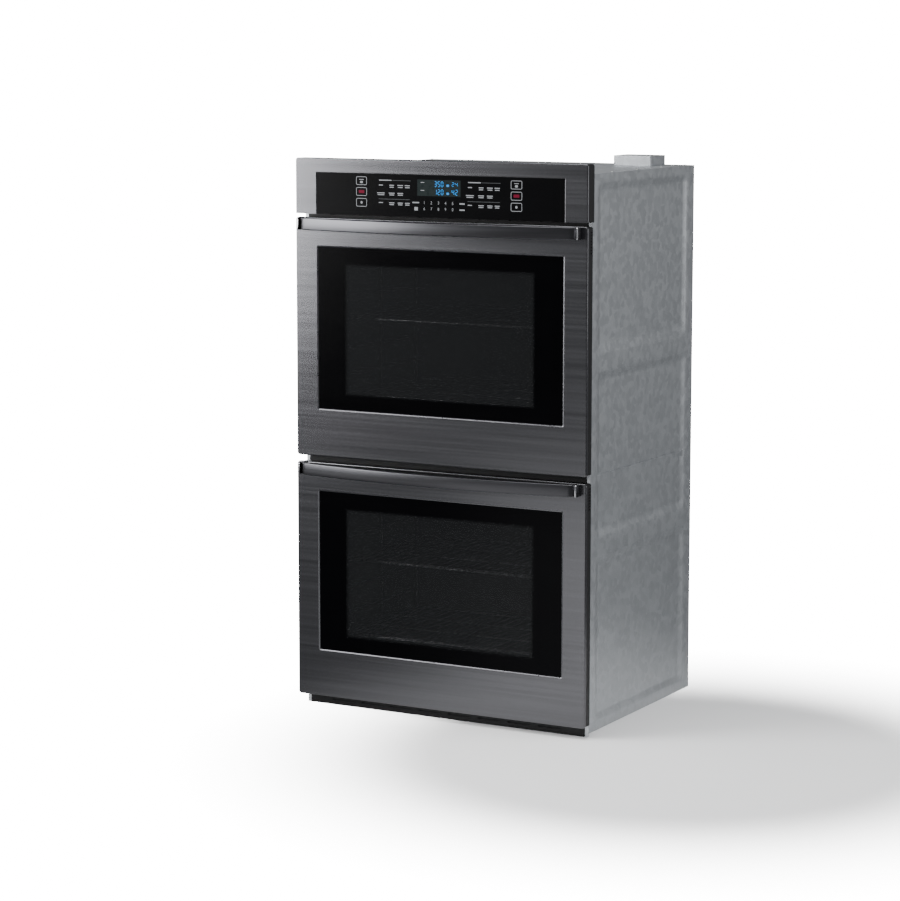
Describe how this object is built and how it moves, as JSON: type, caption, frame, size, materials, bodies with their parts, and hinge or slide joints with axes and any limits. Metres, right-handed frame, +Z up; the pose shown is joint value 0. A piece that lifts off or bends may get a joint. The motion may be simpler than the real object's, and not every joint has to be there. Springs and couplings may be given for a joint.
{
  "type": "wall oven",
  "caption": "Built-in wall oven with two drop-down doors one above the other, bowed bar handles, dark windows and a touch control panel on top.",
  "frame": {"origin": "centre of the base, on the surface that the oven stands on in its cabinet", "axes": "+Z up, the doors face -Y, +X to the right of a person facing the doors"},
  "size_m": [0.757, 0.673, 1.297],
  "materials": {
    "black_stainless": "horizontally brushed dark stainless steel",
    "galvanised_steel": "zinc-coated folded sheet",
    "black_enamel": "fired porcelain enamel",
    "black_paint": "satin black coating",
    "black_plastic": "moulded, satin",
    "door_glass": "tinted tempered glass",
    "control_glass": "black-backed glass with touch areas",
    "rack_chrome": "polished nickel-chrome plate",
    "mineral_wool": "fibrous",
    "seal_braid": "woven glass-fibre braid",
    "circuit_board": "solder mask",
    "lamp_glass": "pressed clear glass"
  },
  "bodies": {
    "chassis": {"base_tray": "galvanised_steel", "top_cover": "galvanised_steel", "middle_shelf": "galvanised_steel", "rear_panel": "galvanised_steel", "side_panel_left": "galvanised_steel", "side_panel_right": "galvanised_steel", "bottom_trim": "black_paint", "middle_trim": "black_paint", "vent_trim": "black_paint", "control_frame": "black_stainless", "control_glass": "control_glass", "control_housing": "black_plastic", "control_board": "circuit_board", "blower_housing": "galvanised_steel", "junction_box": "galvanised_steel", "upper_cavity": "black_enamel", "upper_insulation": "mineral_wool", "upper_gasket": "seal_braid", "upper_broil_element": "black_paint", "upper_bake_element": "black_paint", "upper_fan_baffle": "black_enamel", "upper_fan_motor": "galvanised_steel", "upper_lamp_lens": "lamp_glass", "upper_hinge_arm_left": "galvanised_steel", "upper_hinge_arm_right": "galvanised_steel", "lower_cavity": "black_enamel", "lower_insulation": "mineral_wool", "lower_gasket": "seal_braid", "lower_broil_element": "black_paint", "lower_bake_element": "black_paint", "lower_fan_baffle": "black_enamel", "lower_fan_motor": "galvanised_steel", "lower_lamp_lens": "lamp_glass", "lower_hinge_arm_left": "galvanised_steel", "lower_hinge_arm_right": "galvanised_steel"},
    "cooling_fan": {"blower_wheel": "black_plastic"},
    "upper_fan": {"upper_fan_wheel": "galvanised_steel"},
    "upper_latch": {"upper_latch_hook": "galvanised_steel"},
    "upper_high_rack": {"upper_high_rack": "rack_chrome"},
    "upper_low_rack": {"upper_low_rack": "rack_chrome"},
    "upper_door": {"upper_door_skin": "black_stainless", "upper_outer_glass": "door_glass", "upper_door_frame": "black_plastic", "upper_door_pan": "black_enamel", "upper_inner_glass": "door_glass", "upper_handle": "black_stainless", "upper_hinge_bracket_left": "galvanised_steel", "upper_hinge_bracket_right": "galvanised_steel"},
    "lower_fan": {"lower_fan_wheel": "galvanised_steel"},
    "lower_latch": {"lower_latch_hook": "galvanised_steel"},
    "lower_high_rack": {"lower_high_rack": "rack_chrome"},
    "lower_low_rack": {"lower_low_rack": "rack_chrome"},
    "lower_door": {"lower_door_skin": "black_stainless", "lower_outer_glass": "door_glass", "lower_door_frame": "black_plastic", "lower_door_pan": "black_enamel", "lower_inner_glass": "door_glass", "lower_handle": "black_stainless", "lower_hinge_bracket_left": "galvanised_steel", "lower_hinge_bracket_right": "galvanised_steel"}
  },
  "joints": [
    {"name": "upper_door_hinge", "type": "hinge", "parent": "chassis", "child": "upper_door", "pos_m": [0, -0.2655, 0.606], "axis": [1, 0, 0], "range_deg": [0, 90], "stiffness_Nm_per_rad": 30, "springref_deg": -17.19},
    {"name": "upper_high_rack_slide", "type": "slide", "parent": "chassis", "child": "upper_high_rack", "axis": [0, -1, 0], "range_m": [0, 0.24]},
    {"name": "upper_low_rack_slide", "type": "slide", "parent": "chassis", "child": "upper_low_rack", "axis": [0, -1, 0], "range_m": [0, 0.24]},
    {"name": "upper_fan_spin", "type": "hinge", "parent": "chassis", "child": "upper_fan", "pos_m": [0, 0.1865, 0.89], "axis": [0, 1, 0], "continuous": true},
    {"name": "upper_latch_turn", "type": "hinge", "parent": "chassis", "child": "upper_latch", "pos_m": [0.05, -0.2315, 1.1345], "axis": [0, 0, 1], "range_deg": [0, 15]},
    {"name": "lower_door_hinge", "type": "hinge", "parent": "chassis", "child": "lower_door", "pos_m": [0, -0.2655, 0.032], "axis": [1, 0, 0], "range_deg": [0, 90], "stiffness_Nm_per_rad": 30, "springref_deg": -17.19},
    {"name": "lower_high_rack_slide", "type": "slide", "parent": "chassis", "child": "lower_high_rack", "axis": [0, -1, 0], "range_m": [0, 0.24]},
    {"name": "lower_low_rack_slide", "type": "slide", "parent": "chassis", "child": "lower_low_rack", "axis": [0, -1, 0], "range_m": [0, 0.24]},
    {"name": "lower_fan_spin", "type": "hinge", "parent": "chassis", "child": "lower_fan", "pos_m": [0, 0.1865, 0.316], "axis": [0, 1, 0], "continuous": true},
    {"name": "lower_latch_turn", "type": "hinge", "parent": "chassis", "child": "lower_latch", "pos_m": [0.05, -0.2315, 0.5605], "axis": [0, 0, 1], "range_deg": [0, 15]},
    {"name": "cooling_fan_spin", "type": "hinge", "parent": "chassis", "child": "cooling_fan", "pos_m": [0, 0.0165, 1.196], "axis": [1, 0, 0], "continuous": true}
  ],
  "couplings": [
    {"joint": "upper_high_rack_slide", "follows": "upper_door_hinge", "m_per_rad": 0.1527},
    {"joint": "upper_low_rack_slide", "follows": "upper_door_hinge", "m_per_rad": 0.1527},
    {"joint": "lower_high_rack_slide", "follows": "lower_door_hinge", "m_per_rad": 0.1527},
    {"joint": "lower_low_rack_slide", "follows": "lower_door_hinge", "m_per_rad": 0.1527}
  ]
}
